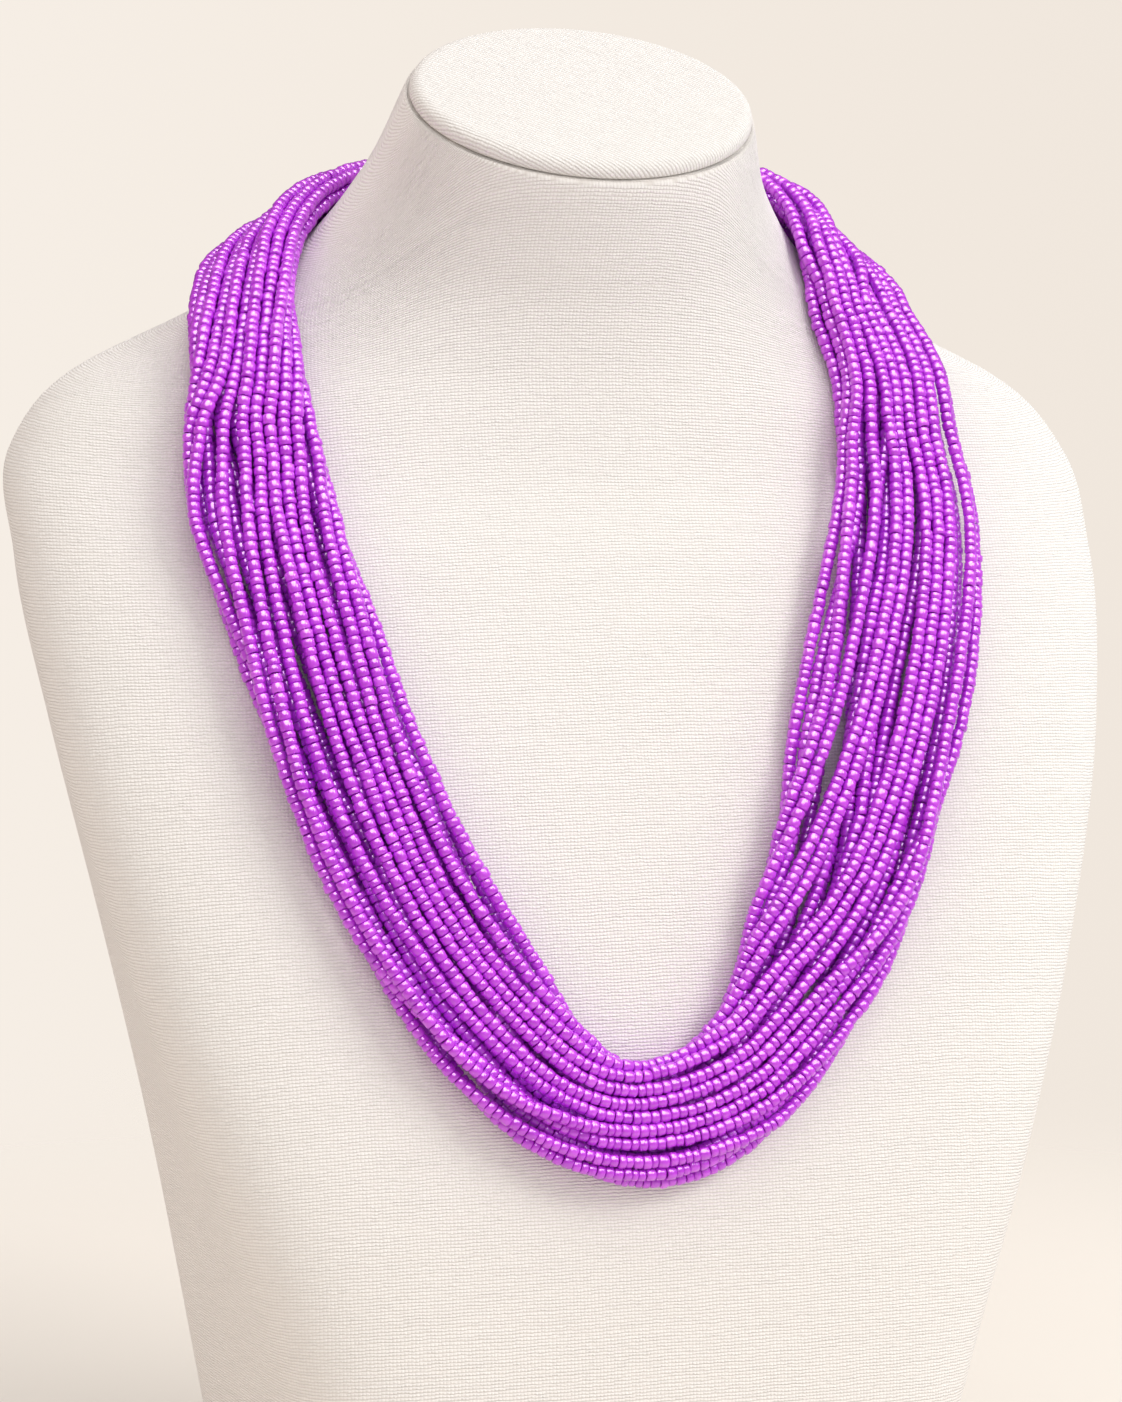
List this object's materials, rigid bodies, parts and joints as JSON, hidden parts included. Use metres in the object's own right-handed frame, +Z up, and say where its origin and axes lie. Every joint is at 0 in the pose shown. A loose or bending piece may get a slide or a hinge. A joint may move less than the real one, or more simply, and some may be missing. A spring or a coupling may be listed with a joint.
{
  "type": "bead mala on a neck bust",
  "caption": "Long necklace of many seed bead strings, closed by a bar clasp, worn on a plain linen-covered neck bust with a slanted cap.",
  "frame": {"origin": "a point of the flat foot, on the plane that the bust's left and right halves share", "axes": "+Z up, the chest faces -Y, +X is the bust's left side"},
  "size_m": [0.2664, 0.1329, 0.361],
  "materials": {
    "linen": "fine woven linen, matt",
    "linen_cap": "fine woven linen, matt",
    "clasp": "plain gloss",
    "beads": "opaque glass with a pearly gloss"
  },
  "bodies": {
    "root": {"bust_body": "linen", "neck_cap": "linen_cap", "clasp_bar": "clasp", "bead_string_01": "beads", "bead_string_02": "beads", "bead_string_03": "beads", "bead_string_04": "beads", "bead_string_05": "beads", "bead_string_06": "beads", "bead_string_07": "beads", "bead_string_08": "beads", "bead_string_09": "beads", "bead_string_10": "beads", "bead_string_11": "beads", "bead_string_12": "beads", "bead_string_13": "beads", "bead_string_14": "beads", "bead_string_15": "beads", "bead_string_16": "beads", "bead_string_17": "beads", "bead_string_18": "beads", "bead_string_19": "beads", "bead_string_20": "beads", "bead_string_21": "beads", "bead_string_22": "beads", "bead_string_23": "beads", "bead_string_24": "beads"}
  },
  "joints": []
}
